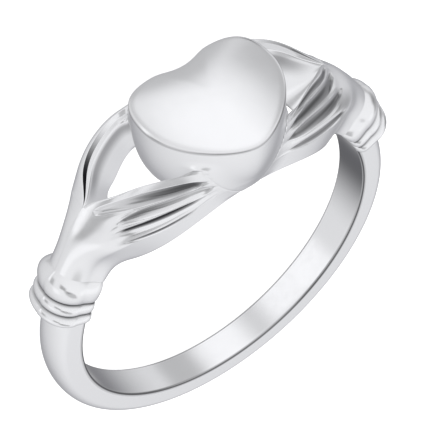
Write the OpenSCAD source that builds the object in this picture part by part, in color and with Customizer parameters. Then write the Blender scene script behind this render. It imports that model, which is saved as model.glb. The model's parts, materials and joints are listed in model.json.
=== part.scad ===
// Claddagh ring in cast silver: two hands with rolled cuffs hold a heart.
// The ring is worked out upright, with the finger along Y and the heart at the top,
// then it is laid on its side, as it lies on a table, with its thumbs down.

/* [Finger hole] */
// Diameter of the finger hole
bore_d = 17.3; // [15:0.1:21]

/* [Band] */
// Thickness of the band
band_t = 1.55; // [1.2:0.05:2]
// Width of the band at the bottom
band_w = 1.8; // [1.4:0.05:2.6]
// Width of the band where it enters the cuffs
shoulder_w = 2.05; // [1.5:0.05:2.6]
// Height of the band's flat side below its dome
band_side = 0.95; // [0.5:0.05:1.1]

/* [Cuffs] */
// Angle from the middle of the heart to the upper edge of a cuff
cuff_from = 54.5; // [50:0.5:60]
// Length of a cuff along the finger hole
cuff_l = 2.4; // [2:0.1:3]
// How far the fattest roll of a cuff stands out
roll_h = 0.35; // [0.2:0.05:0.6]
// Width of the wrist inside the cuff
wrist_w = 2.15; // [1.8:0.05:2.6]

/* [Hands] */
// Thickness of a hand at its knuckles, over the finger hole
hand_t = 2.95; // [2.4:0.05:3.6]
// Reach of the little fingers in front of the band's middle
finger_reach = 3; // [2.6:0.05:3.6]
// Reach of the thumbs behind the band's middle
thumb_reach = 2.8; // [2.4:0.05:3.4]
// Angle from the middle of the heart to the fork of thumb and index finger
fork_a = 37; // [33:0.5:41]
// Depth of the grooves between the fingers
groove_d = 0.3; // [0.15:0.05:0.45]

/* [Heart] */
// Width of the heart
heart_w = 7.35; // [6:0.05:8.5]
// Length of the heart from its lobes to its point
heart_l = 6.2; // [5.2:0.05:7.2]
// How far the lobes stand behind the band's middle
heart_back = 2.25; // [1.8:0.05:2.6]
// Height of the heart's rim over the finger hole
heart_t = 4.05; // [3.6:0.05:5]
// How far the heart's face is crowned over its rim
heart_crown = 0.4; // [0.2:0.05:0.8]
// Share of the rim's size that the heart's foot has
heart_foot = 0.85; // [0.75:0.01:0.92]

/* [Hidden] */

bore_r = bore_d / 2;
// The polyhedra reach this far into the finger hole, which is then bored out
stock = 0.4;
cuff_to = cuff_from + cuff_l / bore_r * 180 / PI;

// Stations of a hand, from the middle of the heart to the lower end of the cuff.
// The first column is the angle, as a share of fork_a up to the fork at 1 and of the way on to cuff_from
// at 2 and to the cuff's lower end at 3.
// The front edge goes from wrist_w / 2 at 0 to finger_reach at 1.
// The index finger's edge is a share of finger_reach. The thumb's inner edge at its top and at the finger
// hole and its back are shares of thumb_reach, and all heights are shares of hand_t.
// Bow is 1 for a straight slope of fingers and 2 for a round one.
STATION_COLUMNS = [
    "at", "front", "front_h", "index", "index_h", "thumb", "thumb_h", "hole", "back", "back_h", "bow"
];
STATIONS = [
    // at    front  front_h index  index_h thumb  thumb_h hole   back   back_h bow
    [0.00,   1.00,  0.32,  -0.80,  0.85,   0.45,  0.80,   0.52,  0.76,  0.45,  1.05],
    [0.22,   1.00,  0.32,  -0.91,  0.95,   0.56,  1.00,   0.66,  0.88,  0.52,  1.10],
    [0.43,   0.99,  0.33,  -0.79,  1.08,   0.73,  1.08,   0.84,  1.00,  0.58,  1.15],
    [0.66,   0.92,  0.41,  -0.45,  1.12,   0.66,  1.07,   0.78,  0.99,  0.62,  1.25],
    [0.84,   0.79,  0.54,  -0.17,  1.08,   0.44,  1.03,   0.64,  0.87,  0.62,  1.45],
    [1.00,   0.59,  0.65,   0.10,  1.00,   0.12,  0.99,   0.48,  0.70,  0.63,  1.70],
    [1.25,   0.38,  0.71,   0.05,  0.98,   0.10,  0.97,   0.10,  0.52,  0.66,  1.90],
    [1.50,   0.14,  0.70,   0.00,  0.94,   0.04,  0.93,   0.04,  0.42,  0.68,  2.00],
    [1.80,   0.01,  0.64,  -0.02,  0.87,   0.02,  0.86,   0.02,  0.39,  0.62,  2.00],
    [2.00,   0.00,  0.56,  -0.02,  0.83,   0.02,  0.82,   0.02,  0.40,  0.58,  2.00],
    [3.00,   0.00,  0.36,  -0.02,  0.66,   0.02,  0.65,   0.02,  0.42,  0.46,  2.00]
];

// Grooves between the fingers, from the little finger up.
// Place and half width are shares of the slope from the front edge to the index finger,
// depth is a share of groove_d, and the two ends are shares of fork_a.
GROOVE_COLUMNS = ["place", "half", "depth", "tip", "knuckle"];
GROOVES = [
    // place half   depth  tip    knuckle
    [0.10,   0.05,  0.50,  0.30,  1.00],
    [0.24,   0.05,  0.80,  0.42,  0.93],
    [0.44,   0.07,  1.00,  0.42,  0.94],
    [0.70,   0.07,  0.90,  0.50,  0.98]
];

// A groove fades in over this share of fork_a at its tip, and over this one at its knuckle
TIP_FADE = 0.25;
KNUCKLE_FADE = 0.06;

// Rolls of a cuff, from the hand down: where each ends, as a share of the cuff, and its share of roll_h
ROLL_COLUMNS = ["end", "swell"];
ROLLS = [
    // end   swell
    [0.50,   1.00],
    [0.76,   0.95],
    [1.00,   1.20]
];

// Half of the heart's outline, from the cleft round a lobe to the point, as shares of half the width
// and of the length from the lobes. Arms are the handles of the curves between those places.
CLEFT = [0, 0.048];
CLEFT_ARM = 0.19;
LOBE = [0.43, 0];
LOBE_ARMS = [0.15, 0.45];
SIDE = [1, 0.355];
SIDE_ARMS = [0.225, 0.355];
POINT = [0, 1];
POINT_ARM = 0.325;

// How far the foot's point stands behind the front edge
FOOT_SET = 0.12;
// The wall of the heart's cup draws in downwards with this power, and its face falls with this one
CUP_POWER = 2.6;
FACE_POWER = 3;
// The cup reaches down into the finger hole to this share of the hole's radius, to be bored out
CUP_DEPTH = 0.88;
FACE_SHARES = [0.98, 0.94, 0.86, 0.7, 0.5, 0.25];
// Middle of the heart's face, as a share of its length from the lobes
FACE_MIDDLE = 0.42;

HEART_STEPS = 9;
WALL_STEPS = 6;
PIERCED_STEPS = 18;
PALM_STEPS = 9;
ROLL_STEPS = 6;
BAND_STEPS = 24;
BACK_STEPS = 5;
BORE_FACETS = 144;
// Step from the last roll down to the band, in degrees
SEAM = 0.05;
// Share of the band's width that is level along the top of its dome
BAND_CREST = 0.08;

SILVER = [0.86, 0.86, 0.87];

function mix(a, b, t) = a + (b - a) * t;
function clamp(x, low, high) = min(max(x, low), high);
function ease(x) = let (t = clamp(x, 0, 1)) t * t * (3 - 2 * t);

// Values that a row of each table has in the column of a name
function station_value(row, name) = row[search([name], STATION_COLUMNS)[0]];
function groove_value(row, name) = row[search([name], GROOVE_COLUMNS)[0]];
function roll_value(row, name) = row[search([name], ROLL_COLUMNS)[0]];

// Slope of a column of the stations at row i
function slope(i, name) =
    let (a = STATIONS[max(i - 1, 0)], b = STATIONS[min(i + 1, len(STATIONS) - 1)])
    (station_value(b, name) - station_value(a, name)) / (station_value(b, "at") - station_value(a, "at"));

// Smooth value of a column at a place, through all the stations
function smooth(at, name, i = 0) =
    (i < len(STATIONS) - 2 && at > station_value(STATIONS[i + 1], "at")) ? smooth(at, name, i + 1) :
    let (
        start = station_value(STATIONS[i], "at"),
        span = station_value(STATIONS[i + 1], "at") - start,
        t = clamp((at - start) / span, 0, 1)
    )
    station_value(STATIONS[i], name) * (2 * t ^ 3 - 3 * t ^ 2 + 1)
        + slope(i, name) * span * (t ^ 3 - 2 * t ^ 2 + t)
        + station_value(STATIONS[i + 1], name) * (3 * t ^ 2 - 2 * t ^ 3)
        + slope(i + 1, name) * span * (t ^ 3 - t ^ 2);

// Place of an angle on the hand in the first column's units
function station(a) =
    a < fork_a ? a / fork_a
    : a < cuff_from ? 1 + (a - fork_a) / (cuff_from - fork_a)
    : 2 + (a - cuff_from) / (cuff_to - cuff_from);

// Swell of the cuff's rolls at a share of the cuff, as half rounds side by side
function swell(share, i = 0, start = 0) =
    let (end = roll_value(ROLLS[i], "end"))
    share > end && i < len(ROLLS) - 1 ? swell(share, i + 1, end)
    : let (x = 2 * (share - start) / (end - start) - 1)
      roll_value(ROLLS[i], "swell") * roll_h * sqrt(max(1 - x * x, 0));

// Edges of the section at an angle from the middle of the heart, in the order of the stations' columns
function hand_edges(a) =
    let (
        s = station(a),
        proud = a > cuff_from ? swell(s - 2) : 0
    )
    [
        0,
        -mix(wrist_w / 2, finger_reach, smooth(s, "front")) - proud,
        hand_t * smooth(s, "front_h") + proud,
        finger_reach * smooth(s, "index"),
        hand_t * smooth(s, "index_h") + proud,
        thumb_reach * smooth(s, "thumb"),
        hand_t * smooth(s, "thumb_h") + proud,
        thumb_reach * smooth(s, "hole"),
        thumb_reach * smooth(s, "back") + proud,
        hand_t * smooth(s, "back_h") + proud,
        smooth(s, "bow")
    ];

function band_edges(a) =
    let (
        half = mix(shoulder_w, band_w, ease((a - cuff_to) / (180 - cuff_to))) / 2,
        crest = BAND_CREST * half
    )
    [0, -half, band_side, -crest, band_t, crest, band_t, crest, half, band_side, 2];

function edges(a) = a > cuff_to ? band_edges(a) : hand_edges(a);

// Depth of the grooves at a share of the finger slope and an angle
function groove(u, a) = max([for (g = GROOVES)
    let (
        across = max(1 - abs(u - groove_value(g, "place")) / groove_value(g, "half"), 0),
        from_tip = ease((a / fork_a - groove_value(g, "tip")) / TIP_FADE),
        to_knuckle = ease((groove_value(g, "knuckle") - a / fork_a) / KNUCKLE_FADE)
    )
    groove_d * groove_value(g, "depth") * across * from_tip * to_knuckle]);

// Shares of the finger slope that get a point: both lips and the bottom of each groove, and the fingers' backs
SLOPE_SHARES = concat(
    [0, 0.03],
    [for (g = GROOVES) for (x = [-1, 0, 1]) groove_value(g, "place") + x * groove_value(g, "half")],
    [0.86, 1]
);

// One point of the slope from the front edge to the index finger's edge
function slope_point(e, u, a) =
    let (
        t = 90 * u,
        power = 2 / station_value(e, "bow"),
        front = [station_value(e, "front"), station_value(e, "front_h")],
        rise = [station_value(e, "index"), station_value(e, "index_h")] - front,
        inward = [rise[1], -rise[0]] / norm(rise)
    )
    front + [rise[0] * (1 - cos(t) ^ power), rise[1] * sin(t) ^ power] + inward * groove(u, a);

// Closed section at an angle from the middle of the heart, as places along the finger and heights over the hole.
// It goes up the front, over the fingers to the index finger's edge, over the thumb and down its back,
// and its last two points are the feet of the gap between them.
function section(a) =
    let (
        e = edges(a),
        thumb = [station_value(e, "thumb"), station_value(e, "thumb_h")],
        back = [station_value(e, "back"), station_value(e, "back_h")]
    )
    concat(
        [[station_value(e, "front"), -stock]],
        [for (u = SLOPE_SHARES) slope_point(e, u, a)],
        [for (i = [0:BACK_STEPS])
            let (t = 90 * i / BACK_STEPS)
            [mix(thumb[0], back[0], sin(t)), mix(back[1], thumb[1], cos(t))]],
        [for (name = ["back", "hole", "index"]) [station_value(e, name), -stock]]
    );

// A point at an angle round the ring, a place along the finger and a height over the hole
function round_ring(a, p) = [(bore_r + p[1]) * sin(a), p[0], (bore_r + p[1]) * cos(a)];

// Angles of the sections on one side: pierced hand, closed hand, rolls, then band
pierced_angles = [for (i = [0:PIERCED_STEPS - 1]) fork_a * i / PIERCED_STEPS];
palm_angles = [for (i = [0:PALM_STEPS - 1]) mix(fork_a, cuff_from, i / PALM_STEPS)];
roll_angles = [for (i = [0:len(ROLLS) - 1])
    let (
        start = i == 0 ? 0 : roll_value(ROLLS[i - 1], "end"),
        end = roll_value(ROLLS[i], "end")
    )
    for (k = [0:ROLL_STEPS - 1])
        mix(cuff_from, cuff_to, mix(start, end, (1 - cos(180 * k / ROLL_STEPS)) / 2))];
band_angles = [for (i = [0:BAND_STEPS - 1]) mix(cuff_to + SEAM, 180, i / BAND_STEPS)];
side_angles = concat(pierced_angles, palm_angles, roll_angles, [cuff_to], band_angles, [180]);
last = len(side_angles) - 1;
all_angles = concat(
    [for (i = [last:-1:1]) -side_angles[i]],
    side_angles
);

// Columns of a section: the index finger's edge, the thumb's edge and the two feet of the gap
index_column = len(SLOPE_SHARES);
thumb_column = index_column + 1;
thumb_foot = thumb_column + BACK_STEPS + 2;
index_foot = thumb_foot + 1;
columns = index_foot + 1;

// Two triangles of the skin between two sections and two columns
function patch(i, next_i, j, next_j) =
    let (
        a = i * columns + j,
        b = i * columns + next_j,
        c = next_i * columns + next_j,
        d = next_i * columns + j
    )
    [[a, b, c], [a, c, d]];

// Band, cuffs, wrists and hands in one skin, with the gap between thumbs and index fingers left open.
// The gap's walls join the crests to their feet, and a wall closes it at each fork.
module shank() {
    n = len(all_angles);
    first_fork = last - PIERCED_STEPS;
    second_fork = last + PIERCED_STEPS;
    points = [for (a = all_angles) for (p = section(abs(a))) round_ring(a, p)];
    skin = [for (i = [0:n - 1])
        let (
            next_i = (i + 1) % n,
            pierced = i >= first_fork && i < second_fork
        )
        for (j = [0:columns - 1])
            let (
                from = pierced && j == index_column ? index_column : j,
                to = pierced && j == index_column ? index_foot
                    : pierced && j == thumb_foot ? thumb_column
                    : (j + 1) % columns
            )
            each patch(i, next_i, from, to)];
    forks = [for (i = [first_fork, second_fork])
        let (
            wall = [for (j = [index_column, thumb_column, thumb_foot, index_foot]) i * columns + j],
            turned = i == first_fork
        )
        each turned
            ? [[wall[0], wall[1], wall[2]], [wall[0], wall[2], wall[3]]]
            : [[wall[0], wall[2], wall[1]], [wall[0], wall[3], wall[2]]]];
    polyhedron(points, concat(skin, forks));
}

// Middle of the box round a closed section
function middle(ring) = [for (k = [0:2]) let (c = [for (p = ring) p[k]]) (min(c) + max(c)) / 2];

// Skin round closed sections in a row, closed at each end by a fan round its middle
module closed_row(rings) {
    n = len(rings);
    m = len(rings[0]);
    points = concat([for (r = rings) for (p = r) p], [middle(rings[0]), middle(rings[n - 1])]);
    sides = [for (i = [0:n - 2]) for (j = [0:m - 1])
        let (
            a = i * m + j,
            b = i * m + (j + 1) % m,
            c = (i + 1) * m + (j + 1) % m,
            d = (i + 1) * m + j
        )
        each [[a, b, c], [a, c, d]]];
    start = [for (j = [0:m - 1]) [n * m, (j + 1) % m, j]];
    end = [for (j = [0:m - 1]) [n * m + 1, (n - 1) * m + j, (n - 1) * m + (j + 1) % m]];
    polyhedron(points, concat(sides, start, end));
}

// Point of a curve of the third degree
function curve(a, b, c, d, t) =
    (1 - t) ^ 3 * a + 3 * (1 - t) ^ 2 * t * b + 3 * (1 - t) * t * t * c + t ^ 3 * d;

heart_half = concat(
    [for (i = [0:HEART_STEPS - 1])
        curve(CLEFT, CLEFT + [CLEFT_ARM, 0], LOBE - [LOBE_ARMS[0], 0], LOBE, i / HEART_STEPS)],
    [for (i = [0:HEART_STEPS - 1])
        curve(LOBE, LOBE + [LOBE_ARMS[1], 0], SIDE - [0, SIDE_ARMS[0]], SIDE, i / HEART_STEPS)],
    [for (i = [0:HEART_STEPS])
        curve(SIDE, SIDE + [0, SIDE_ARMS[1]], POINT + [POINT_ARM, 0], POINT, i / HEART_STEPS)]
);
heart_outline = concat(
    [for (p = heart_half) [p[0] * heart_w / 2, heart_back - p[1] * heart_l]],
    [for (i = [len(heart_half) - 2:-1:1])
        [-heart_half[i][0] * heart_w / 2, heart_back - heart_half[i][1] * heart_l]]
);
// The cup draws in towards this place along the finger, so that its foot's point stands just behind the
// front edge
cup_middle = (heart_foot * (heart_back - heart_l) + finger_reach - FOOT_SET) / (heart_foot - 1);
face_middle = heart_back - FACE_MIDDLE * heart_l;
rim_z = bore_r + heart_t;

// The heart's outline drawn in to a share of its size towards a place along the finger, at a height
function heart_ring(share, place, z) =
    [for (p = heart_outline) [p[0] * share, place + (p[1] - place) * share, z]];

heart_rings = concat(
    [for (i = [0:WALL_STEPS])
        let (
            z = mix(CUP_DEPTH * bore_r, rim_z, i / WALL_STEPS),
            down = (rim_z - z) / heart_t
        )
        heart_ring(1 - (1 - heart_foot) * down ^ CUP_POWER, cup_middle, z)],
    [for (s = FACE_SHARES) heart_ring(s, face_middle, rim_z + heart_crown * (1 - s ^ FACE_POWER))]
);

// Corners of the bored ring, upright
corners = concat(
    [for (a = side_angles) for (p = section(a)) round_ring(a, [p[0], max(p[1], 0)])],
    [for (r = heart_rings) each r]
);
// The ring lies on its thumbs and on the edge of the band's flat side at the bottom, which gives its lean
lean = max([for (p = corners) if (p[2] > 0) atan2(p[1] - band_w / 2, p[2] + bore_r + band_side)]);
heights = [for (p = corners) p[2] * sin(lean) - p[1] * cos(lean)];
lengths = [for (p = corners) p[2] * cos(lean) + p[1] * sin(lean)];

module cast() {
    difference() {
        union() {
            shank();
            closed_row(heart_rings);
        }
        rotate([90, 0, 0]) cylinder(r = bore_r, h = 4 * finger_reach, center = true, $fn = BORE_FACETS);
    }
}

module ring() {
    color(SILVER)
        translate([0, -(min(lengths) + max(lengths)) / 2, -min(heights)])
            rotate([lean - 90, 0, 0]) cast();
}

ring();
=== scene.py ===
"""Claddagh ring in polished silver, lying on its side on a pale floor."""

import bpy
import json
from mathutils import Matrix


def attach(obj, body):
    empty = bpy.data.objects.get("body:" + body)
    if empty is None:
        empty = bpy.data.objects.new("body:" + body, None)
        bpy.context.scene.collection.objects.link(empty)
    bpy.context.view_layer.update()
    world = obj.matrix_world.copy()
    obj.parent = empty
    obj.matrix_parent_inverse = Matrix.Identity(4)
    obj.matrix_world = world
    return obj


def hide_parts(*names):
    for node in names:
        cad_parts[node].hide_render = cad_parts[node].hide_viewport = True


bl_info = {
    "name": "Claddagh ring",
    "version": (1, 0, 0),
    "blender": (4, 5, 0),
    "location": "View3D > Sidebar > Ring",
    "description": "Builds a silver claddagh ring, its floor, its light and its camera",
    "category": "Add Mesh",
}

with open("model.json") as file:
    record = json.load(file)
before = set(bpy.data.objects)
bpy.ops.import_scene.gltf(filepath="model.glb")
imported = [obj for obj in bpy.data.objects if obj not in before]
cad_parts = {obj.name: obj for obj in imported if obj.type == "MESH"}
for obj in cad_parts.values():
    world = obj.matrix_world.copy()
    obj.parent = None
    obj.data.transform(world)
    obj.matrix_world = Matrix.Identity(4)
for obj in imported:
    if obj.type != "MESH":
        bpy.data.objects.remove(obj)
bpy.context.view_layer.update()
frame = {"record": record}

import json
import math
from types import SimpleNamespace

import bmesh
import bpy
import numpy as np
from bpy.props import FloatProperty, FloatVectorProperty, PointerProperty
from mathutils import Matrix

MOUNT = frame["record"]["mounts"][0]
MM = 0.001
# The ring's own upright frame, in mm: the finger lies along Y and the heart is at the top of Z
LEAN = math.asin(-MOUNT["axis"][1])
HOLE_CENTRE = np.array(MOUNT["pos_m"]) / MM
BORE_R = MOUNT["dims"]["r_mm"]

# Stations of a hand, from the middle of the heart to the lower end of the cuff.
# The angle is a share of the fork's angle up to 1 and of the way on to the cuff at 2 and to its end at 3.
# Edges are shares of the fingers' reach, the thumbs' reach and the hand's thickness.
COLUMNS = ("at", "front", "front_h", "index", "index_h", "thumb", "thumb_h", "hole", "back", "back_h", "bow")
STATIONS = np.array([
    [0.00, 1.00, 0.32, -0.80, 0.85, 0.45, 0.80, 0.52, 0.76, 0.45, 1.05],
    [0.22, 1.00, 0.32, -0.91, 0.95, 0.56, 1.00, 0.66, 0.88, 0.52, 1.10],
    [0.43, 0.99, 0.32, -0.79, 1.08, 0.73, 1.08, 0.84, 1.00, 0.58, 1.15],
    [0.66, 0.92, 0.37, -0.45, 1.12, 0.66, 1.07, 0.78, 0.99, 0.62, 1.25],
    [0.84, 0.79, 0.50, -0.17, 1.08, 0.44, 1.03, 0.64, 0.87, 0.62, 1.45],
    [1.00, 0.59, 0.62, 0.10, 1.00, 0.12, 0.99, 0.48, 0.70, 0.63, 1.85],
    [1.25, 0.38, 0.62, 0.05, 0.98, 0.10, 0.97, 0.10, 0.52, 0.60, 2.00],
    [1.50, 0.14, 0.55, 0.00, 0.94, 0.04, 0.93, 0.04, 0.42, 0.56, 2.00],
    [1.80, 0.01, 0.46, -0.02, 0.87, 0.02, 0.86, 0.02, 0.39, 0.46, 2.00],
    [2.00, 0.00, 0.40, -0.02, 0.83, 0.02, 0.82, 0.02, 0.40, 0.42, 2.00],
    [3.00, 0.00, 0.26, -0.02, 0.66, 0.02, 0.65, 0.02, 0.42, 0.32, 2.00],
])

# Grooves between the fingers of each hand, from the index finger down.
# Each is a line of places: angle from the middle of the heart, share of the slope, half width there in mm
# and how dark the painted shade in the groove is there. After it come the groove's depth in mm, how flat
# its bottom is and to which lip the painted shade leans.
LEFT_GROOVES = (
    ([(9.5, 0.61, 0.08, 1.0), (15.0, 0.61, 0.24, 1.0), (22.0, 0.66, 0.34, 0.8), (30.0, 0.755, 0.30, 0.3),
      (36.4, 0.825, 0.14, 0.3)], 0.14, 3.0, 0.1),
    ([(8.8, 0.37, 0.12, 0.4), (13.0, 0.38, 0.20, 0.4), (21.0, 0.405, 0.26, 0.6), (28.0, 0.475, 0.25, 1.0),
      (34.4, 0.52, 0.06, 1.0)], 0.13, 3.0, 0.5),
    ([(13.0, 0.19, 0.08, 0.7), (17.0, 0.215, 0.10, 0.9), (22.0, 0.25, 0.12, 1.0), (29.0, 0.31, 0.12, 1.0),
      (36.0, 0.42, 0.05, 1.0)], 0.10, 2.0, 0.0),
    ([(16.0, 0.03, 0.04, 0.7), (22.0, 0.045, 0.07, 0.8), (28.0, 0.06, 0.09, 0.9), (33.0, 0.10, 0.09, 0.8),
      (37.0, 0.17, 0.04, 0.5)], 0.05, 2.0, 0.0),
)
RIGHT_GROOVES = (
    ([(13.0, 0.90, 0.06, 1.0), (18.0, 0.89, 0.14, 1.0), (25.0, 0.885, 0.22, 1.0), (31.0, 0.90, 0.18, 1.0),
      (36.2, 0.93, 0.05, 1.0)], 0.11, 2.0, -0.3),
    ([(12.0, 0.63, 0.10, 0.9), (18.0, 0.63, 0.25, 1.0), (26.0, 0.65, 0.31, 1.0), (32.0, 0.705, 0.29, 1.0),
      (37.0, 0.80, 0.14, 0.9)], 0.17, 2.0, -0.3),
    ([(12.0, 0.36, 0.10, 0.8), (18.0, 0.36, 0.25, 0.9), (26.0, 0.375, 0.31, 1.0), (32.0, 0.425, 0.29, 1.0),
      (37.6, 0.54, 0.10, 1.0)], 0.17, 2.0, -0.3),
    ([(13.0, 0.08, 0.06, 0.7), (19.0, 0.08, 0.13, 0.9), (26.0, 0.085, 0.20, 1.0), (32.0, 0.11, 0.20, 1.0),
      (37.0, 0.17, 0.08, 1.0)], 0.11, 2.0, -0.3),
)

# Rolls of a cuff from the hand down: where each ends, as a share of the cuff, and its share of the roll's
# height
ROLLS = ((0.50, 1.00), (0.76, 0.95), (1.00, 1.20))

# Half of the heart's outline, as shares of half its width and of its length from the lobes
HEART_CURVES = (
    ((0.0, 0.048), (0.19, 0.048), (0.28, 0.0), (0.43, 0.0)),
    ((0.43, 0.0), (0.88, 0.0), (1.0, 0.13), (1.0, 0.355)),
    ((1.0, 0.355), (1.0, 0.71), (0.325, 1.0), (0.0, 1.0)),
)

# How dark the painted shade is in the valleys beside a cuff's rolls, how far that reaches as a share of the
# cuff, and the height in mm over the finger hole below which it is left out
VALLEY_DARK, VALLEY_REACH, VALLEY_FOOT = 0.95, 0.02, 0.1
# Painted dark reflection on the finger hole's wall: how dark it is at the right and at the left, with the
# angles in degrees between which the one fades and the other grows, and the angles on both sides of the
# heart between which they begin
RIGHT_DARK, RIGHT_FADE = 0.81, (87, 117)
LEFT_DARK, LEFT_GROWTH = 0.55, (206, 242)
DARK_START = (15, 50)

# Angle in degrees by which the band's ends reach into the cuffs
BAND_REACH = 0.6

# How far the heart's underside stands back from the finger hole, in mm, so that no two faces lie in one place
SEAM = 0.01
UNDERSIDE_R = BORE_R + SEAM
# Points no higher than this over the finger hole, in mm, lie on its wall
HOLE_SKIN = 0.4 * SEAM
# Height over the finger hole, in mm, at which a fillet has its full reach
FILLET_START = 0.3
# Depths below the rim, in mm, between which the heart's fillet with the hands comes to its full reach
FILLET_DEPTHS = (0.3, 1.0)
# How far the point of the heart's foot stands behind the front of the fingers, in mm
POINT_IN = 0.12
# Power by which the heart's cup draws in downwards
CUP_POWER = 2.6
# The highest place of the heart's face, as a share of its length from the lobes
FACE_MIDDLE = 0.42

# Angle in degrees over which the wrist's front wall comes to its full swelling below the fork
SWELL_OVER = 10.0
# Share of a thumb's ridge that is left below the fork, and how far past the fork and over what angle it rises
RIDGE_LEFT, RIDGE_PAST, RIDGE_OVER = 0.02, 1.0, 7.0
# Ways back and up of the thumb's ledge and of its ridge, and the roundness in mm of its edge, of the corner
# between them and of the ridge
LEDGE_WAY, RIDGE_WAY = np.array([1.0, 0.1]), np.array([0.3, 1.0])
THUMB_ROUNDS = (0.05, 0.03, 0.04)
# How many times as wide the right thumb's ledge is as the left one's, and how many times lower its ridge
RIGHT_LEDGE = 2.0
# How dark the painted dark reflection beside the ridge is on the left and on the right thumb, the angles in
# degrees between which it grows, and how far past the fork and over what angle it fades
LINE_DARK, LINE_GROWTH, LINE_PAST, LINE_FADE = (1.0, 0.6), (18, 31), 0.5, 2.0
# How dark the painted shade low on the thumb's inner wall is, and its angle before the fork over which it
# fades
UNDER_DARK, UNDER_FADE = 0.5, 6.0
# Roundness in mm of the fingers' front edge and of the edges along the gap, and the least of the latter
FRONT_ROUND, GAP_ROUND, LEAST_ROUND = 0.12, 0.1, 0.004
# Angle in degrees before the fork in which the sections stand closer together
FORK_NEAR = 2.5
# Angle in degrees past the fork over which the thumb's edge parts from the index finger's again
PARTING = 3.0

# Columns across a groove, as shares of its half width, and across the back of a finger
GROOVE_COLUMNS = np.array([-1.12, -1.0, -0.95, -0.85, -0.7, -0.5, -0.25, 0.0,
                           0.25, 0.5, 0.7, 0.85, 0.95, 1.0, 1.12])
BACK_COLUMNS = np.linspace(0, 1, 7)[1:-1]
# Angles in degrees over which a groove begins at the fingertips and ends at the knuckles
TIP_OVER, KNUCKLE_OVER = 5.0, 2.2
# Angles in degrees between which a finger's back begins to swell, and how far past the fork and over what
# angle the swelling ends
PLUMP_START, PLUMP_PAST, PLUMP_FADE = (8, 16), 1.0, 5.0
# Least half width of a groove, in mm
NARROWEST = 0.03
# Shares of the slope between which its columns are spread, the most that one may have, and their least step
SLOPE_START, SLOPE_END, SLOPE_MOST, SLOPE_STEP = 0.008, 0.985, 0.95, 6e-4

# Lengths under this, in mm, and angles under this, in degrees, count as nothing
SHORTEST, SAME_ANGLE = 1e-6, 1e-9
# Points nearer to each other than this, in mm, are joined
WELD = 0.0004
# Edges that turn by more than this angle in degrees stay sharp
SHARP = 60.0


def in_mm(value, low, high, name, text):
    """A length that a user may change, given in mm and kept in metres."""
    return FloatProperty(name=name, description=text, default=value * MM, min=low * MM, max=high * MM,
                         unit="LENGTH")


def in_degrees(value, low, high, name, text):
    """An angle that a user may change, given in degrees and kept in radians."""
    return FloatProperty(name=name, description=text, default=math.radians(value), min=math.radians(low),
                         max=math.radians(high), subtype="ANGLE")


def as_share(value, low, high, name, text):
    """A share or a strength that a user may change."""
    return FloatProperty(name=name, description=text, default=value, min=low, max=high, subtype="FACTOR")


def as_colour(red, green, blue, name, text):
    """A colour that a user may change."""
    return FloatVectorProperty(name=name, description=text, default=(red, green, blue, 1.0), min=0, max=1,
                               size=4, subtype="COLOR")


class BandSizes(bpy.types.PropertyGroup):
    """Sizes of the band"""
    thickness: in_mm(1.55, 1.2, 2.0, "Thickness", "Thickness of the band")
    width: in_mm(1.795, 1.4, 2.6, "Width", "Width of the band at the bottom")
    shoulder: in_mm(2.05, 1.5, 2.6, "Shoulder", "Width of the band where it enters the cuffs")
    side: in_mm(0.95, 0.5, 1.1, "Side", "Height of the band's flat side below its dome")
    edge: in_mm(0.12, 0.02, 0.2, "Edge", "Roundness of the edges at the finger hole")
    # The line along the edges is painted shade
    line: as_share(0.95, 0, 1, "Line", "How dark the line along the edges is")


class CuffSizes(bpy.types.PropertyGroup):
    """Sizes of the cuffs and of the wrists inside them"""
    start: in_degrees(54.5, 50, 60, "Start", "Angle from the heart's middle to a cuff's upper edge")
    length: in_mm(2.4, 2.0, 3.0, "Length", "Length of a cuff along the finger hole")
    roll: in_mm(0.34, 0.2, 0.6, "Roll", "How far the fattest roll stands out")
    wrist: in_mm(2.15, 1.8, 2.6, "Wrist", "Width of the wrist inside the cuff")
    bulge: in_mm(0.12, 0.0, 0.2, "Bulge", "How far the front of the wrist swells forward")


class HandSizes(bpy.types.PropertyGroup):
    """Sizes of the hands, their fingers and their thumbs"""
    thickness: in_mm(2.95, 2.4, 3.6, "Thickness", "Thickness of a hand at its knuckles")
    finger_reach: in_mm(3.0, 2.6, 3.6, "Finger reach", "Reach of the little fingers in front")
    thumb_reach: in_mm(2.793, 2.4, 3.4, "Thumb reach", "Reach of the thumbs at the back")
    fork: in_degrees(37.0, 33, 41, "Fork", "Angle from the heart's middle to where thumb and fingers part")
    ledge: in_mm(0.24, 0.1, 0.5, "Ledge", "Width of the ledge along a thumb's inner edge")
    ridge: in_mm(0.28, 0.05, 0.4, "Ridge", "Height of the ridge beside a thumb's ledge")
    plump: in_mm(0.05, 0.0, 0.1, "Plump", "How far the backs of the fingers swell between the grooves")


class HeartSizes(bpy.types.PropertyGroup):
    """Sizes of the heart"""
    width: in_mm(7.35, 6.0, 8.5, "Width", "Width of the heart")
    length: in_mm(6.2, 5.2, 7.2, "Length", "Length of the heart from its lobes to its point")
    back: in_mm(2.249, 1.8, 2.6, "Back", "How far the lobes stand behind the band's middle")
    height: in_mm(4.05, 3.6, 5.0, "Height", "Height of the heart's rim over the finger hole")
    crown: in_mm(0.4, 0.2, 0.8, "Crown", "How far the heart's face is crowned over its rim")
    foot: as_share(0.85, 0.75, 0.92, "Foot", "Share of the rim's size that the heart's foot has")
    rim_in: in_mm(0.35, 0.05, 0.6, "Rim in", "How far the rounding of the rim reaches over the face")
    rim_down: in_mm(0.1, 0.02, 0.3, "Rim down", "How far the rounding of the rim reaches down the wall")
    # The line along the rim is painted shade
    line: as_share(0.5, 0, 1, "Line", "How dark the line along the rim is")
    fillet: in_mm(0.7, 0.1, 1.5, "Fillet", "Reach of the fillet between the heart and the hands")


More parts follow.
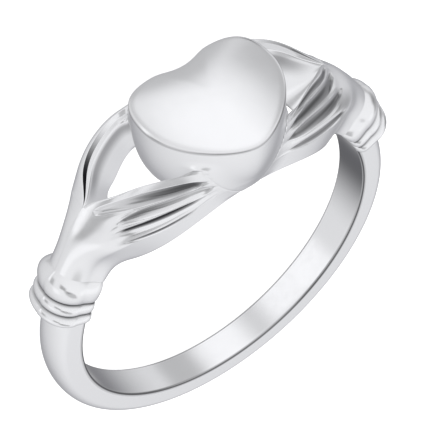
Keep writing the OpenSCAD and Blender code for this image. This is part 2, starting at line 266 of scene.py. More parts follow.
class SilverLook(bpy.types.PropertyGroup):
    """Colours and polish of the silver"""
    colour: as_colour(0.935, 0.94, 0.965, "Colour", "Colour of the polished silver")
    # Colour of the painted shade and dark reflections in the grooves, the cuffs' valleys, the finger hole and
    # along edges
    tarnish: as_colour(0.03, 0.03, 0.034, "Tarnish", "Colour of the darkened silver in the grooves")
    grazing: as_colour(0.5, 0.5, 0.52, "Grazing", "Tint of the silver where it is seen at a low angle")
    roughness: as_share(0.18, 0, 1, "Roughness", "Roughness of the polish")


class StageLook(bpy.types.PropertyGroup):
    """Floor and light of the stage"""
    floor: as_colour(0.62, 0.62, 0.62, "Floor", "Colour of the floor")
    glow: as_share(0.75, 0, 1, "Glow", "Light that comes through the floor from below")
    light: as_share(1.2, 0, 4, "Light", "Strength of the soft light on the floor")
    fill: as_share(0.81, 0, 1, "Fill", "Brightness that the studio's walls bring")
    lift: as_share(0.1, 0, 1, "Lift", "How much brighter the walls are overhead than level with the ring")


def sizes(group):
    """The values of a group of sizes, with its lengths in mm and its angles in degrees."""
    scales = {"LENGTH": 1 / MM, "ROTATION": math.degrees(1)}
    units = {name: group.bl_rna.properties[name].unit for name in group.__annotations__}
    values = {name: getattr(group, name) * scales.get(unit, 1) for name, unit in units.items()}
    return SimpleNamespace(**values)


def smoothstep(x):
    """Rises from 0 at 0 to 1 at 1, level at both ends."""
    t = np.clip(x, 0, 1)
    return t * t * (3 - 2 * t)


def rise(x, start, end):
    """Rises from 0 at the start to 1 at the end, level at both."""
    return smoothstep((x - start) / (end - start))


def spline_bends(knots, rows):
    """Second derivatives, at the knots, of the smoothest curve through the rows.
    The curve is level at the first knot and has no bend at the last."""
    n = len(knots)
    h = np.diff(knots)
    steep = np.diff(rows, axis=0) / h[:, None]
    inner = np.arange(1, n - 1)
    a = np.zeros((n, n))
    a[0, :2] = 2 * h[0], h[0]
    a[inner, inner - 1] = h[:-1]
    a[inner, inner] = 2 * (h[:-1] + h[1:])
    a[inner, inner + 1] = h[1:]
    a[-1, -1] = 1
    b = np.zeros(rows.shape)
    b[0] = 6 * steep[0]
    b[1:-1] = 6 * (steep[1:] - steep[:-1])
    return np.linalg.solve(a, b)


def spline(knots, rows, bends, x):
    """The smooth curve at x: the cubic of each span between two knots, from its ends and their bends."""
    i = np.clip(np.searchsorted(knots, x, side="right") - 1, 0, len(knots) - 2)
    h = (knots[i + 1] - knots[i])[..., None]
    t = (x - knots[i])[..., None] / h
    s = 1 - t
    return s * rows[i] + t * rows[i + 1] + h * h / 6 * ((s ** 3 - s) * bends[i] + (t ** 3 - t) * bends[i + 1])


class Shapes:
    """The ring's sizes and the curves that follow from them, in the upright frame and in mm."""

    def __init__(self, scene):
        self.band = sizes(scene.ring_band)
        self.cuff = sizes(scene.ring_cuffs)
        self.hand = sizes(scene.ring_hands)
        self.heart = sizes(scene.ring_heart)
        self.cuff_end = self.cuff.start + math.degrees(self.cuff.length / BORE_R)
        marks = np.array([0, self.hand.fork, self.cuff.start, self.cuff_end])
        self.knots = np.interp(STATIONS[:, 0], [0, 1, 2, 3], marks)
        self.bends = spline_bends(self.knots, STATIONS)
        self.cup_middle = (self.heart.foot * (self.heart.back - self.heart.length)
                           + self.hand.finger_reach - POINT_IN) / (self.heart.foot - 1)
        self.rim_z = BORE_R + self.heart.height
        self.outline = self.heart_outline()

    def edges(self, a):
        """Edges of the section at an angle: places along the finger and heights over the hole."""
        v = dict(zip(COLUMNS, np.moveaxis(spline(self.knots, STATIONS, self.bends, np.abs(a)), -1, 0)))
        wrist = self.cuff.wrist / 2
        reach, thumb, tall = self.hand.finger_reach, self.hand.thumb_reach, self.hand.thickness
        return {
            "front": -(wrist + (reach - wrist) * v["front"]),
            "front_h": tall * v["front_h"],
            "index": reach * v["index"],
            "index_h": tall * v["index_h"],
            "thumb": thumb * v["thumb"],
            "thumb_h": tall * v["thumb_h"],
            "hole": thumb * v["hole"],
            "back": thumb * v["back"],
            "back_h": tall * v["back_h"],
            "bow": np.clip(v["bow"], 1, 2),
        }

    def swollen(self, a):
        """How far the wrist's front wall swells forward at an angle."""
        return self.cuff.bulge * smoothstep((np.abs(a) - self.hand.fork) / SWELL_OVER)

    def raised(self, a):
        """Share of the thumb's ridge at an angle: full beside the heart and next to nothing past the fork."""
        before = self.hand.fork + RIDGE_PAST - np.abs(a)
        return RIDGE_LEFT + (1 - RIDGE_LEFT) * smoothstep(before / RIDGE_OVER)

    def slope(self, a, w):
        """Point of the finger slope at an angle and a share of its length, as place and height.
        The slope is a quarter of a superellipse, straight at bow 1 and round at bow 2."""
        e = self.edges(a)
        p = 2 / e["bow"]
        t = (2 - p) * np.pi / 2 * w + (p - 1) * np.arcsin(np.sqrt(np.clip(w, 0, 1)))
        y = e["front"] + (e["index"] - e["front"]) * (1 - np.clip(np.cos(t), 0, 1) ** p)
        h = e["front_h"] + (e["index_h"] - e["front_h"]) * np.clip(np.sin(t), 0, 1) ** p
        return np.stack([y, h], -1)

    def heart_outline(self):
        """Closed outline of the heart, anticlockwise from the cleft, as curves of the third degree."""
        t = np.linspace(0, 1, 41)[:-1, None]
        half = [(1 - t) ** 3 * np.array(c[0]) + 3 * (1 - t) ** 2 * t * np.array(c[1])
                + 3 * (1 - t) * t ** 2 * np.array(c[2]) + t ** 3 * np.array(c[3]) for c in HEART_CURVES]
        half = np.concatenate(half + [np.array([[0.0, 1.0]])])
        right = half * [self.heart.width / 2, -self.heart.length] + [0, self.heart.back]
        left = right[-2:0:-1] * [-1, 1]
        return np.concatenate([right, left])[::-1]

    def cup_share(self, z):
        """Share of the rim's size that the heart's cup has at a height: it draws in downwards as a power."""
        lowest = 1.2
        down = np.clip((self.rim_z - z) / self.heart.height, 0, lowest)
        return 1 - (1 - self.heart.foot) * down ** CUP_POWER


def round_ring(a, place, height):
    """Point at an angle from the heart's middle, a place along the finger and a height over the hole."""
    r = BORE_R + height
    turn = np.radians(a)
    return np.stack([r * np.sin(turn), place + 0 * r, r * np.cos(turn)], -1)


def laid(points):
    """The upright ring's points, laid down: turned about X by the lean less a right angle, then lifted."""
    x, y, z = np.moveaxis(points, -1, 0)
    s, c = math.sin(LEAN), math.cos(LEAN)
    return (np.stack([x, y * s + z * c, z * s - y * c], -1) + HOLE_CENTRE) * MM


def upright(points):
    """The points of the row's frame, in metres, stood up again in the ring's own frame in mm."""
    x, y, z = np.moveaxis(points / MM - HOLE_CENTRE, -1, 0)
    s, c = math.sin(LEAN), math.cos(LEAN)
    return np.stack([x, y * s - z * c, y * c + z * s], -1)


def laid_direction(v):
    """A direction of the upright ring, laid on its side."""
    s, c = math.sin(LEAN), math.cos(LEAN)
    return np.array([v[0], v[1] * s + v[2] * c, v[2] * s - v[1] * c])


def grid_faces(rows, columns, start, wrap=False):
    """Four-cornered faces between the rows and columns of a grid whose first point has the number start."""
    across = columns if wrap else columns - 1
    i, j = np.meshgrid(np.arange(rows - 1), np.arange(across), indexing="ij")
    k = (j + 1) % columns
    return start + np.stack([i * columns + j, (i + 1) * columns + j, (i + 1) * columns + k, i * columns + k],
                            -1).reshape(-1, 4)


def over_hole(points):
    """Height of points of the upright ring over the finger hole's wall."""
    return np.hypot(points[:, 0], points[:, 2]) - BORE_R


def angle_of(points):
    """Angle of points of the upright ring from the heart's middle, in degrees from -180 to 180."""
    return np.degrees(np.arctan2(points[:, 0], points[:, 2]))


def inside_shade(a):
    """How dark the painted reflection on the finger hole's wall is at an angle from the heart's middle,
    counted on to the right.
    It is brightest at the bottom, darkest at the right shoulder and half dark at the left."""
    right = RIGHT_DARK * (1 - rise(a, *RIGHT_FADE))
    left = LEFT_DARK * rise(a, *LEFT_GROWTH)
    return np.maximum(right, left) * rise(np.minimum(a, 360 - a), *DARK_START)


def closed_mesh(name, grids):
    """A closed mesh from the grids of points that make_piece takes. Points that lie in one place are joined,
    and the faces are turned outwards."""
    points, faces, shades, start = [], [], [], 0
    for grid, wrap, *shade in grids:
        rows, columns = grid.shape[:2]
        points.append(laid(grid.reshape(-1, 3)))
        shades.append(shade[0].ravel() if shade else np.zeros(rows * columns))
        faces.append(grid_faces(rows, columns, start, wrap))
        start += rows * columns
    mesh = bpy.data.meshes.new(name)
    mesh.from_pydata(np.concatenate(points), [], np.concatenate(faces).tolist())
    # Painted shade: how dark the silver is painted at each point, in place of shade and dark reflections
    tarnish = mesh.attributes.new("tarnish", "FLOAT", "POINT")
    tarnish.data.foreach_set("value", np.concatenate(shades).astype("f"))
    shell = bmesh.new()
    shell.from_mesh(mesh)
    bmesh.ops.remove_doubles(shell, verts=shell.verts, dist=WELD * MM)
    bmesh.ops.dissolve_degenerate(shell, edges=shell.edges, dist=WELD * MM)
    bmesh.ops.recalc_face_normals(shell, faces=shell.faces)
    loose = [e for e in shell.edges if len(e.link_faces) != 2]
    shell.to_mesh(mesh)
    shell.free()
    if loose:
        raise RuntimeError(f"{name} isn't closed: {len(loose)} edges")
    return mesh


def vertex_values(mesh, data, key, size):
    """The values of a mesh's vertices, read from its data as rows of the given size."""
    values = np.zeros(size * len(mesh.vertices), "f")
    data.foreach_get(key, values)
    return values.reshape(-1, size).astype(float)


def make_piece(name, grids, shift=None):
    """One closed piece of silver from grids of points in mm. Each grid comes with a flag that says whether
    its columns wrap round and, where it has one, with how dark the painted shade is at each point.
    Points on the finger hole's wall get a painted dark reflection by their angle. The shift, where one is
    given, moves the points by a function of their places and normals in the upright frame. Sharp edges stay
    sharp."""
    mesh = closed_mesh(name, grids)
    co = vertex_values(mesh, mesh.vertices, "co", 3)
    places = upright(co)
    tarnish = mesh.attributes["tarnish"].data
    tones = vertex_values(mesh, tarnish, "value", 1)[:, 0]
    # Painted dark reflection on the finger hole's wall, by angle
    hole_tones = (over_hole(places) < HOLE_SKIN) * inside_shade(angle_of(places) % 360)
    tarnish.foreach_set("value", np.maximum(tones, hole_tones).astype("f"))
    if shift:
        normals = vertex_values(mesh, mesh.vertex_normals, "vector", 3)
        ahead = upright(co + normals * MM) - places
        mesh.vertices.foreach_set("co", laid(shift(places, ahead)).astype("f").ravel())
    mesh.polygons.foreach_set("use_smooth", np.ones(len(mesh.polygons), bool))
    mesh.set_sharp_from_angle(angle=math.radians(SHARP))
    mesh.update()
    piece = bpy.data.objects.new(name, mesh)
    bpy.context.scene.collection.objects.link(piece)
    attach(piece, "root")
    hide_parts("ring")


def corner(p, q, r, t):
    """Curve of the second degree from p to r, drawn towards the corner q."""
    t = t[..., None]
    return (1 - t) ** 2 * p + 2 * t * (1 - t) * q + t ** 2 * r


def along(p, q, t):
    """Points on the straight line from p to q."""
    return p + (q - p) * t[..., None]


def stacked(*parts):
    """Columns of a section put side by side."""
    return np.concatenate(parts, axis=1)


def bent_line(points, rounds, straight=4, bend=6):
    """Columns along the line through some points, one of each for every section, with its corners rounded.
    A corner is a curve of the second degree that starts and ends a round's length away from it,
    or just before the middle of a side that is too short for that."""
    most = 0.48
    parts, start = [], points[0]
    for before, here, after, size in zip(points, points[1:], points[2:], rounds):
        ends = []
        for other in (before, after):
            way = other - here
            length = np.maximum(np.linalg.norm(way, axis=-1, keepdims=True), SHORTEST)
            ends.append(here + way * np.minimum(size / length, most))
        parts += [along(start, ends[0], np.linspace(0, 1, straight)[None, :-1]),
                  corner(ends[0], here, ends[1], np.linspace(0, 1, bend)[None, :-1])]
        start = ends[1]
    parts.append(along(start, points[-1], np.linspace(0, 1, straight)[None]))
    return stacked(*parts)


def section_grid(angles, section):
    """Points of a skin from its sections, one for each angle."""
    return round_ring(angles[:, None] + 0 * section[..., 0], section[..., 0], section[..., 1])


def edge_pairs(e, place, height):
    """Place and height as pairs, one for each angle, with an axis for the columns.
    Each is the name of an edge or a number."""
    pair = [e[key] if isinstance(key, str) else key for key in (place, height)]
    return np.stack(np.broadcast_arrays(*pair), -1)[:, None]


def groove_rows(angles, number):
    """A groove at each angle: its share of the slope, half width, depth, the darkness of its painted shade,
    the lean of that shade and flatness.
    Its left and right halves belong to the two hands. It narrows and grows shallow towards both its ends."""
    place, half, depth, tone, lean = (np.zeros(len(angles)) for _ in range(5))
    flat = np.full(len(angles), 2.0)
    for side, grooves in ((-1, LEFT_GROOVES), (1, RIGHT_GROOVES)):
        line, deepest, bottom, leaning = grooves[number]
        line = np.array(line)
        here = angles * side > 0
        a = np.abs(angles[here])
        first, last = line[0, 0], line[-1, 0]
        row = spline(line[:, 0], line, spline_bends(line[:, 0], line), np.clip(a, first, last))
        tip = smoothstep((a - first) / TIP_OVER)
        knuckle = np.clip((last - a) / KNUCKLE_OVER, 0, 1)
        leaf = tip * np.sqrt(1 - (1 - knuckle) ** 2)
        deepening = tip * smoothstep(knuckle)
        place[here] = row[:, 1]
        half[here] = np.maximum(row[:, 2] * np.sqrt(leaf), NARROWEST)
        depth[here] = deepest * deepening
        flat[here] = bottom
        tone[here] = np.clip(row[:, 3], 0, 1) * deepening
        lean[here] = leaning
    # The heart's middle belongs to neither hand and follows its neighbour
    middle = np.flatnonzero(angles == 0)
    place[middle], half[middle] = place[middle + 1], half[middle + 1]
    return place, half, depth, tone, lean, flat


def finger_columns(angles, shapes):
    """Shares of the slope for each column, how deep the skin lies there and how dark its painted shade is.
    Each groove has columns from lip to lip, and the backs of the fingers have columns between the grooves.
    A groove's depth falls off from its middle as a power, and a finger's back swells as a parabola."""
    across = GROOVE_COLUMNS[None]
    slope = shapes.slope(angles[:, None], np.linspace(0, 1, 40)[None])
    length = np.linalg.norm(np.diff(slope, axis=1), axis=-1).sum(1)
    shares, depths, tones = [], [], []
    for number in reversed(range(len(LEFT_GROOVES))):
        place, half, depth, tone, lean, flat = (row[:, None] for row in groove_rows(angles, number))
        inside = np.clip(1 - np.abs(across) ** flat, 0, 1)
        shares.append(place + across * half / length[:, None])
        depths.append(depth * inside)
        # Painted shade in the groove, darker towards the lip it leans to
        tones.append(tone * np.sqrt(inside) * np.clip(1 + lean * (across - np.sign(lean)), 0, 1))
    away = np.abs(angles)
    full = rise(away, *PLUMP_START) * smoothstep((shapes.hand.fork + PLUMP_PAST - away) / PLUMP_FADE)
    swelling = shapes.hand.plump * full[:, None] * (4 * BACK_COLUMNS * (1 - BACK_COLUMNS))[None]
    first, last = np.full((len(angles), 1), SLOPE_START), np.full((len(angles), 1), SLOPE_END)
    columns, deep, shade = [first], [0 * first], [0 * first]
    for share, depth, tone in zip(shares, depths, tones):
        before = columns[-1][:, -1:]
        columns += [before + (share[:, :1] - before) * BACK_COLUMNS[None], share]
        deep += [-swelling, depth]
        shade += [0 * swelling, tone]
    before = columns[-1][:, -1:]
    columns += [before + (last - before) * BACK_COLUMNS[None], last]
    deep += [0 * swelling, 0 * last]
    shade += [0 * swelling, 0 * last]
    share = stacked(*columns)
    steps = np.arange(share.shape[1])[None] * SLOPE_STEP
    share = np.maximum.accumulate(np.clip(share, SLOPE_START, SLOPE_MOST) - steps, axis=1) + steps
    return share, stacked(*deep), stacked(*shade)


def finger_section(angles, shapes):
    """From the foot up the front, over the front edge, over the fingers and over the index finger's edge,
    with how dark the painted shade is at each place."""
    e = shapes.edges(angles)
    share, deep, shade = finger_columns(angles, shapes)
    step = 1e-3
    centre = shapes.slope(angles[:, None], share)
    ahead = shapes.slope(angles[:, None], np.clip(share + step, 0, 1)) - shapes.slope(
        angles[:, None], np.clip(share - step, 0, 1))
    ahead /= np.linalg.norm(ahead, axis=-1, keepdims=True)
    inward = np.stack([ahead[..., 1], -ahead[..., 0]], -1)
    skin = centre + inward * deep[..., None]
    foot = edge_pairs(e, "front", 0.0)
    top = edge_pairs(e, "front", "front_h")
    below = top - [0, FRONT_ROUND]
    steps = np.linspace(0, 1, 13)[None]
    wall = along(foot, below, steps) - bulge(steps, shapes.swollen(angles)[:, None])
    bend = corner(below, top, skin[:, :1], np.linspace(0, 1, 7)[None, 1:-1])
    round_off = (GAP_ROUND * closing(angles, shapes, 24) + LEAST_ROUND)[:, None, None]
    crest = edge_pairs(e, "index", "index_h")
    gap = (np.abs(angles) < shapes.hand.fork + SAME_ANGLE)[:, None, None]
    towards = thumb_top(angles, shapes) - crest
    far = np.linalg.norm(towards, axis=-1, keepdims=True)
    end = crest + np.where(gap, np.array([0.0, -1.0]) * round_off,
                           towards / np.maximum(far, SHORTEST) * np.minimum(round_off, far / 2))
    crest_bend = corner(skin[:, -1:], crest, end, np.linspace(0, 1, 6)[None, 1:])
    clear = [np.zeros(part.shape[:2]) for part in (wall, bend, crest_bend)]
    return stacked(wall, bend, skin, crest_bend), stacked(clear[0], clear[1], shade, clear[2])


def bulge(t, size):
    """How far a wall swells forward at a share of its height: a curve of the third degree, level on top."""
    return np.stack(np.broadcast_arrays(6.75 * t * (1 - t) ** 2 * size, 0.0), -1)


def closing(angles, shapes, sharpness=30):
    """How far the gap beside the heart is open: 1 along the gap, and 0 at the fork with a round end.
    It is the root of what a high power of the angle's share leaves of 1."""
    return np.sqrt(np.clip(1 - (np.abs(angles) / shapes.hand.fork) ** sharpness, 0, 1))


def thumb_top(angles, shapes):
    """The thumb's inner edge at its top, drawn to the index finger's edge at the fork."""
    e = shapes.edges(angles)
    past = np.abs(angles) - shapes.hand.fork
    share = np.where(past <= 0, closing(angles, shapes), smoothstep(past / PARTING))
    index = edge_pairs(e, "index", "index_h")
    ridge = shapes.hand.ridge * shapes.raised(angles)[:, None, None]
    edge = edge_pairs(e, "thumb", "thumb_h") - [0, 1] * ridge
    return index + (edge - index) * share[:, None, None]


def thumb_section(angles, shapes):
    """From the thumb's inner edge over its ledge, its ridge and its back down to the finger hole,
    with how dark the painted reflection is at each place. The right thumb has a wider ledge and a lower
    ridge."""
    e = shapes.edges(angles)
    hand = shapes.hand
    edge = thumb_top(angles, shapes)
    raised = shapes.raised(angles)[:, None, None]
    wide = np.where(angles < 0, 1.0, RIGHT_LEDGE)[:, None, None]
    ledge = edge + LEDGE_WAY * raised * wide * hand.ledge
    ridge = ledge + RIDGE_WAY * raised * hand.ridge / wide
    turn = np.linspace(0, 1, 33)[None] * np.pi / 2
    end = edge_pairs(e, "back", "back_h")
    back = np.stack([ridge[..., 0] + (end - ridge)[..., 0] * np.sin(turn),
                     end[..., 1] + (ridge - end)[..., 1] * np.cos(turn)], -1)
    pierced = (np.abs(angles) <= hand.fork + SAME_ANGLE)[:, None, None]
    round_off = (GAP_ROUND * closing(angles, shapes) + LEAST_ROUND)[:, None, None]
    start = edge + np.where(pierced, [0.0, -1.0], 0.0) * round_off
    # The ridge's corner takes the place of the back's first columns
    first = 3
    inner = bent_line([start, edge, ledge, ridge, back[:, first:first + 1]], THUMB_ROUNDS)
    dark = np.zeros(inner.shape[:2])
    # The painted dark reflection covers the ridge's wall, from the corner at the ledge up to the corner at
    # its top
    beside_ridge = slice(14, 22)
    away = np.abs(angles)
    strength = np.where(angles < 0, *LINE_DARK) * rise(away, *LINE_GROWTH)
    dark[:, beside_ridge] = (strength * smoothstep((hand.fork + LINE_PAST - away) / LINE_FADE))[:, None]
    foot = edge_pairs(e, "back", 0.0)
    inset, foot_round = 0.15, 0.1
    outer = bent_line([end, foot, foot - [inset, 0]], [foot_round], straight=9)
    skin = stacked(inner[:, :-1], back[:, first:-1], outer)
    return skin, stacked(dark[:, :-1], np.zeros((len(angles), skin.shape[1] - dark.shape[1] + 1)))


def hand_angles(shapes):
    """Angles of the sections of both hands, closer together at the forks."""
    fork, end = shapes.hand.fork, shapes.cuff.start
    near = fork - FORK_NEAR * (1 - np.sin(np.linspace(0, np.pi / 2, 15)))
    half = np.concatenate([np.linspace(0, fork - FORK_NEAR, 100)[:-1], near, np.linspace(fork, end, 56)[1:]])
    return np.concatenate([-half[:0:-1], half])


def outline_distance(points, outlines):
    """Signed distance of points to closed outlines that run anticlockwise, one for all or one for each,
    below 0 inside, and the direction in which it grows.
    It is measured to the nearest point of the nearest side. On the outline itself the way is its normal."""
    a = np.broadcast_to(outlines, (len(points),) + outlines.shape[-2:])
    side = np.roll(a, -1, axis=1) - a
    rel = points[:, None] - a
    size = np.maximum((side * side).sum(-1), SHORTEST ** 2)
    t = np.clip((rel * side).sum(-1) / size, 0, 1)
    gap = rel - t[..., None] * side
    nearest = (gap * gap).sum(-1).argmin(1)[:, None, None]
    away = np.take_along_axis(gap, nearest, 1)[:, 0]
    edge = np.take_along_axis(side, nearest, 1)[:, 0]
    distance = np.linalg.norm(away, axis=1)
    crossed = (rel[..., 1] < 0) != (rel[..., 1] < side[..., 1])
    slant = side[..., 0] / np.where(side[..., 1] == 0, 1, side[..., 1])
    inside = (crossed & (rel[..., 1] * slant > rel[..., 0])).sum(1) % 2 == 1
    signed = np.where(inside, -distance, distance)
    length = np.maximum(np.linalg.norm(edge, axis=1), SHORTEST)
    normal = np.stack([edge[:, 1], -edge[:, 0]], -1) / length[:, None]
    clear = distance > 100 * SHORTEST
    normal[clear] = away[clear] / signed[clear, None]
    return signed, normal


def cup_distance(points, shapes):
    """Signed distance to the heart's cup, and the direction away from it.
    At each height the cup is the heart's outline, drawn in towards the cup's middle."""
    middle = np.array([0, shapes.cup_middle])
    step = 0.02
    found = []
    for lower in (0, step):
        share = shapes.cup_share(points[:, 2] - lower)
        far, way = outline_distance(middle + (points[:, :2] - middle) / share[:, None], shapes.outline)
        found.append((far * share, way))
    fall = (found[0][0] - found[1][0]) / step
    normal = np.concatenate([found[0][1], fall[:, None]], 1)
    size = np.linalg.norm(normal, axis=1)
    return found[0][0] / size, normal / size[:, None]


def hand_distance(points, shapes):
    """Signed distance to the nearer of the fingers and the thumb, and the direction away from it,
    from the sections of both at each point's angle round the ring."""
    a = angle_of(points)
    e = shapes.edges(a)
    here = np.stack([points[:, 1], over_hole(points)], -1)
    slope = shapes.slope(a[:, None], np.linspace(0, 1, 14)[None])
    turn = np.linspace(0, np.pi / 2, 9)[None]
    back = np.stack([e["thumb"][:, None] + (e["back"] - e["thumb"])[:, None] * np.sin(turn),
                     e["back_h"][:, None] + (e["thumb_h"] - e["back_h"])[:, None] * np.cos(turn)], -1)
    parts = [
        stacked(edge_pairs(e, "front", 0.0), slope, edge_pairs(e, "index", 0.0))[:, ::-1],
        stacked(edge_pairs(e, "hole", 0.0), back, edge_pairs(e, "back", 0.0))[:, ::-1],
    ]
    (finger_far, finger_way), (thumb_far, thumb_way) = (outline_distance(here, part) for part in parts)
    near = finger_far < thumb_far
    way = np.where(near[:, None], finger_way, thumb_way)
    a = np.radians(a)
    return np.where(near, finger_far, thumb_far), np.stack(
        [way[:, 1] * np.sin(a), way[:, 0], way[:, 1] * np.cos(a)], -1)


def filleted(places, normals, distance, share, shapes):
    """Points moved out onto the fillet with another surface, in one step of the tangent rule on the smooth
    minimum of the two distances, from their own normals and the other surface's distance. The share fades
    it out, and it fades out towards the finger hole's wall, which stays round."""
    reach = shapes.heart.fillet
    wide, back, front = shapes.heart.width / 2 + reach, shapes.heart.back + reach, shapes.heart.length
    share = share * smoothstep(over_hole(places) / FILLET_START)
    x, y, _ = np.moveaxis(places, -1, 0)
    near = (np.abs(x) < wide) & (y < back) & (y > back - front - 2 * reach) & (share > 0)
    own, here = normals[near], places[near]
    far, away = distance(here, shapes)
    h = np.clip(1 - np.abs(far) / reach, 0, 1)[:, None]
    gradient = (1 - h / 2) * own + h / 2 * away
    # The two ways nearly cancel out where the surfaces face each other, and the step stays short there
    least = 0.3
    size = np.maximum((gradient ** 2).sum(1, keepdims=True), least)
    moved = places.copy()
    moved[near] = here + share[near, None] * h ** 2 * reach / 4 * gradient / size
    return moved


class RING_OT_hands(bpy.types.Operator):
    """Makes both hands with their wrists as one skin, with the gaps beside the heart left open"""
    bl_idname = "ring.hands"
    bl_label = "Hands"

    def execute(self, context):
        shapes = Shapes(context.scene)
        fork = shapes.hand.fork
        angles = hand_angles(shapes)
        e = shapes.edges(angles)
        fingers, finger_shade = finger_section(angles, shapes)
        thumb, thumb_shade = thumb_section(angles, shapes)
        gap = np.abs(angles) <= fork + SAME_ANGLE
        webs = (angles <= -fork + SAME_ANGLE, angles >= fork - SAME_ANGLE)
        front_foot, index_top = fingers[:, :1], fingers[:, -1:]
        thumb_edge, back_foot = thumb[:, :1], thumb[:, -1:]
        index_foot = edge_pairs(e, "index", 0.0)
        open_share = closing(angles, shapes)[:, None, None]
        hole_foot = index_foot + (edge_pairs(e, "hole", 0.0) - index_foot) * open_share
        down, across = np.linspace(0, 1, 25)[None], np.linspace(0, 1, 9)[None]
        # Painted shade: a soft dark line low on the thumb's inner wall
        fade = smoothstep((fork - np.abs(angles[gap])) / UNDER_FADE)[:, None]
        under = UNDER_DARK * (rise(down, 0.5, 0.85) - rise(down, 0.9, 1.0)) * fade

        def sheet(where, first, last, steps):
            """Points between two lines along the hands, at some of the angles."""
            return section_grid(angles[where], along(first[where], last[where], steps))

        grids = [
            (section_grid(angles, fingers), False, finger_shade),
            (section_grid(angles, thumb), False, thumb_shade),
            (sheet(gap, index_top, index_foot, down), False),
            (sheet(gap, hole_foot, thumb_edge, down), False, under),
        ]
        grids += [(sheet(web, index_top, thumb_edge, np.linspace(0, 1, 2)[None]), False) for web in webs]
        grids += [(sheet(gap, index_foot, front_foot, across), False),
                  (sheet(gap, back_foot, hole_foot, across), False)]
        for web in webs:
            grids += [(sheet(web, index_foot, front_foot, across), False),
                      (sheet(web, back_foot, index_foot, across), False)]
        floor = stacked(along(back_foot, index_foot, across), along(index_foot, front_foot, across)[:, 1:])
        grids += [(self.end(angles[k], [fingers[k], thumb[k], floor[k]]), False) for k in (0, -1)]

        def shift(places, normals):
            """The fillet with the heart."""
            return filleted(places, normals, cup_distance, 1.0, shapes)

        make_piece("hands", grids, shift)
        return {"FINISHED"}

    def end(self, angle, lines):
        """A flat face that closes a wrist inside its cuff: the section drawn in to its middle."""
        rim = np.concatenate(lines)
        section = along(rim.mean(0)[None, None], rim[None], np.linspace(0, 1, 3)[:, None])
        return section_grid(np.full(3, angle), section)


class RING_OT_heart(bpy.types.Operator):
    """Makes the heart: a cup that draws in to its foot, a crisp rim and a gently crowned face"""
    bl_idname = "ring.heart"
    bl_label = "Heart"

    def execute(self, context):
        shapes = Shapes(context.scene)
        wall = self.wall(shapes)
        face, meeting = self.face(shapes)
        bend = corner(wall[-1:], meeting, face[:1], np.linspace(0, 1, 13)[1:-1, None])
        middle = wall[0].mean(0)
        under = middle + (wall[0] - middle) * np.linspace(0, 1, 16)[:-1, None, None]
        under[..., 2] = np.sqrt(UNDERSIDE_R ** 2 - under[..., 0] ** 2)
        # The painted shade line along the rim grows over the last two rows of the wall and fades over the
        # first four of the rounding
        fade = np.clip(1 - np.arange(len(bend)) / 4, 0, 1)
        rows = np.concatenate([np.zeros(len(under) + len(wall) - 2), [0.5, 0.8], fade, np.zeros(len(face))])
        dark = shapes.heart.line * rows[:, None] + np.zeros(len(meeting))

        def shift(places, normals):
            """The fillet with the hands, which fades out towards the rim."""
            below_rim = rise(shapes.rim_z - places[:, 2], *FILLET_DEPTHS)
            return filleted(places, normals, hand_distance, below_rim, shapes)

        make_piece("heart", [(np.concatenate([under, wall, bend, face]), True, dark)], shift)
        return {"FINISHED"}

    def wall(self, shapes):
        """The cup's wall, from its foot at the finger hole up to the rounding of the rim.
        Each row is the outline, drawn in to the cup's middle by the cup's share at its height."""
        outline, middle = shapes.outline, np.array([0.0, shapes.cup_middle])
        foot = np.full(len(outline), UNDERSIDE_R)
        # The foot's height and its share of the outline follow from each other
        for _ in range(4):
            foot = np.sqrt(UNDERSIDE_R ** 2 - (outline[:, 0] * shapes.cup_share(foot)) ** 2)
        top = shapes.rim_z - shapes.heart.rim_down
        heights = foot + (top - foot) * np.linspace(0, 1, 70)[:, None]
        rows = middle + (outline - middle) * shapes.cup_share(heights)[..., None]
        return np.concatenate([rows, heights[..., None]], -1)

    def face(self, shapes):
        """The face, from the rounding of the rim in to its middle, as a parabola over the rim,
        and the line where its slope there meets the outline."""
        heart, outline = shapes.heart, shapes.outline
        middle = np.array([0.0, heart.back - FACE_MIDDLE * heart.length])
        spread = np.linalg.norm(outline - middle, axis=1)
        first = 1 - heart.rim_in / spread
        # The rows stand closer together over the outer fifth
        s = np.concatenate([np.linspace(1, 0.8, 16), np.linspace(0.8, 0, 34)[1:]])[:, None] * first
        heights = shapes.rim_z + heart.crown * (1 - s ** 2)
        rows = middle + (outline - middle) * s[..., None]
        slope = 2 * heart.crown * first / spread
        meeting = np.concatenate([outline, (heights[0] - slope * heart.rim_in)[:, None]], 1)
        return np.concatenate([rows, heights[..., None]], -1), meeting


def capped(grid, shade):
    """A grid whose columns wrap round, with its first and last rows drawn in to their middles."""
    share = np.linspace(0, 1, 5)[:-1, None, None]
    first, last = (row.mean(0) + (row - row.mean(0)) * share for row in (grid[0], grid[-1]))
    plain = np.zeros((len(share), grid.shape[1]))
    return np.concatenate([first, grid, last[::-1]]), True, np.concatenate([plain, shade, plain])


def swell(share, height):
    """Height of the rolls at a share of the cuff: half rounds side by side, the first rising softly."""
    ends, talls = np.array(ROLLS).T
    starts = np.concatenate([[0], ends[:-1]])
    i = np.clip(np.searchsorted(ends, share, side="left"), 0, len(ROLLS) - 1)
    x = 2 * (share - starts[i]) / (ends[i] - starts[i]) - 1
    round_side = np.clip(1 - x ** 2, 0, 1)
    return height * talls[i] * np.where((i == 0) & (x < 0), round_side, np.sqrt(round_side))


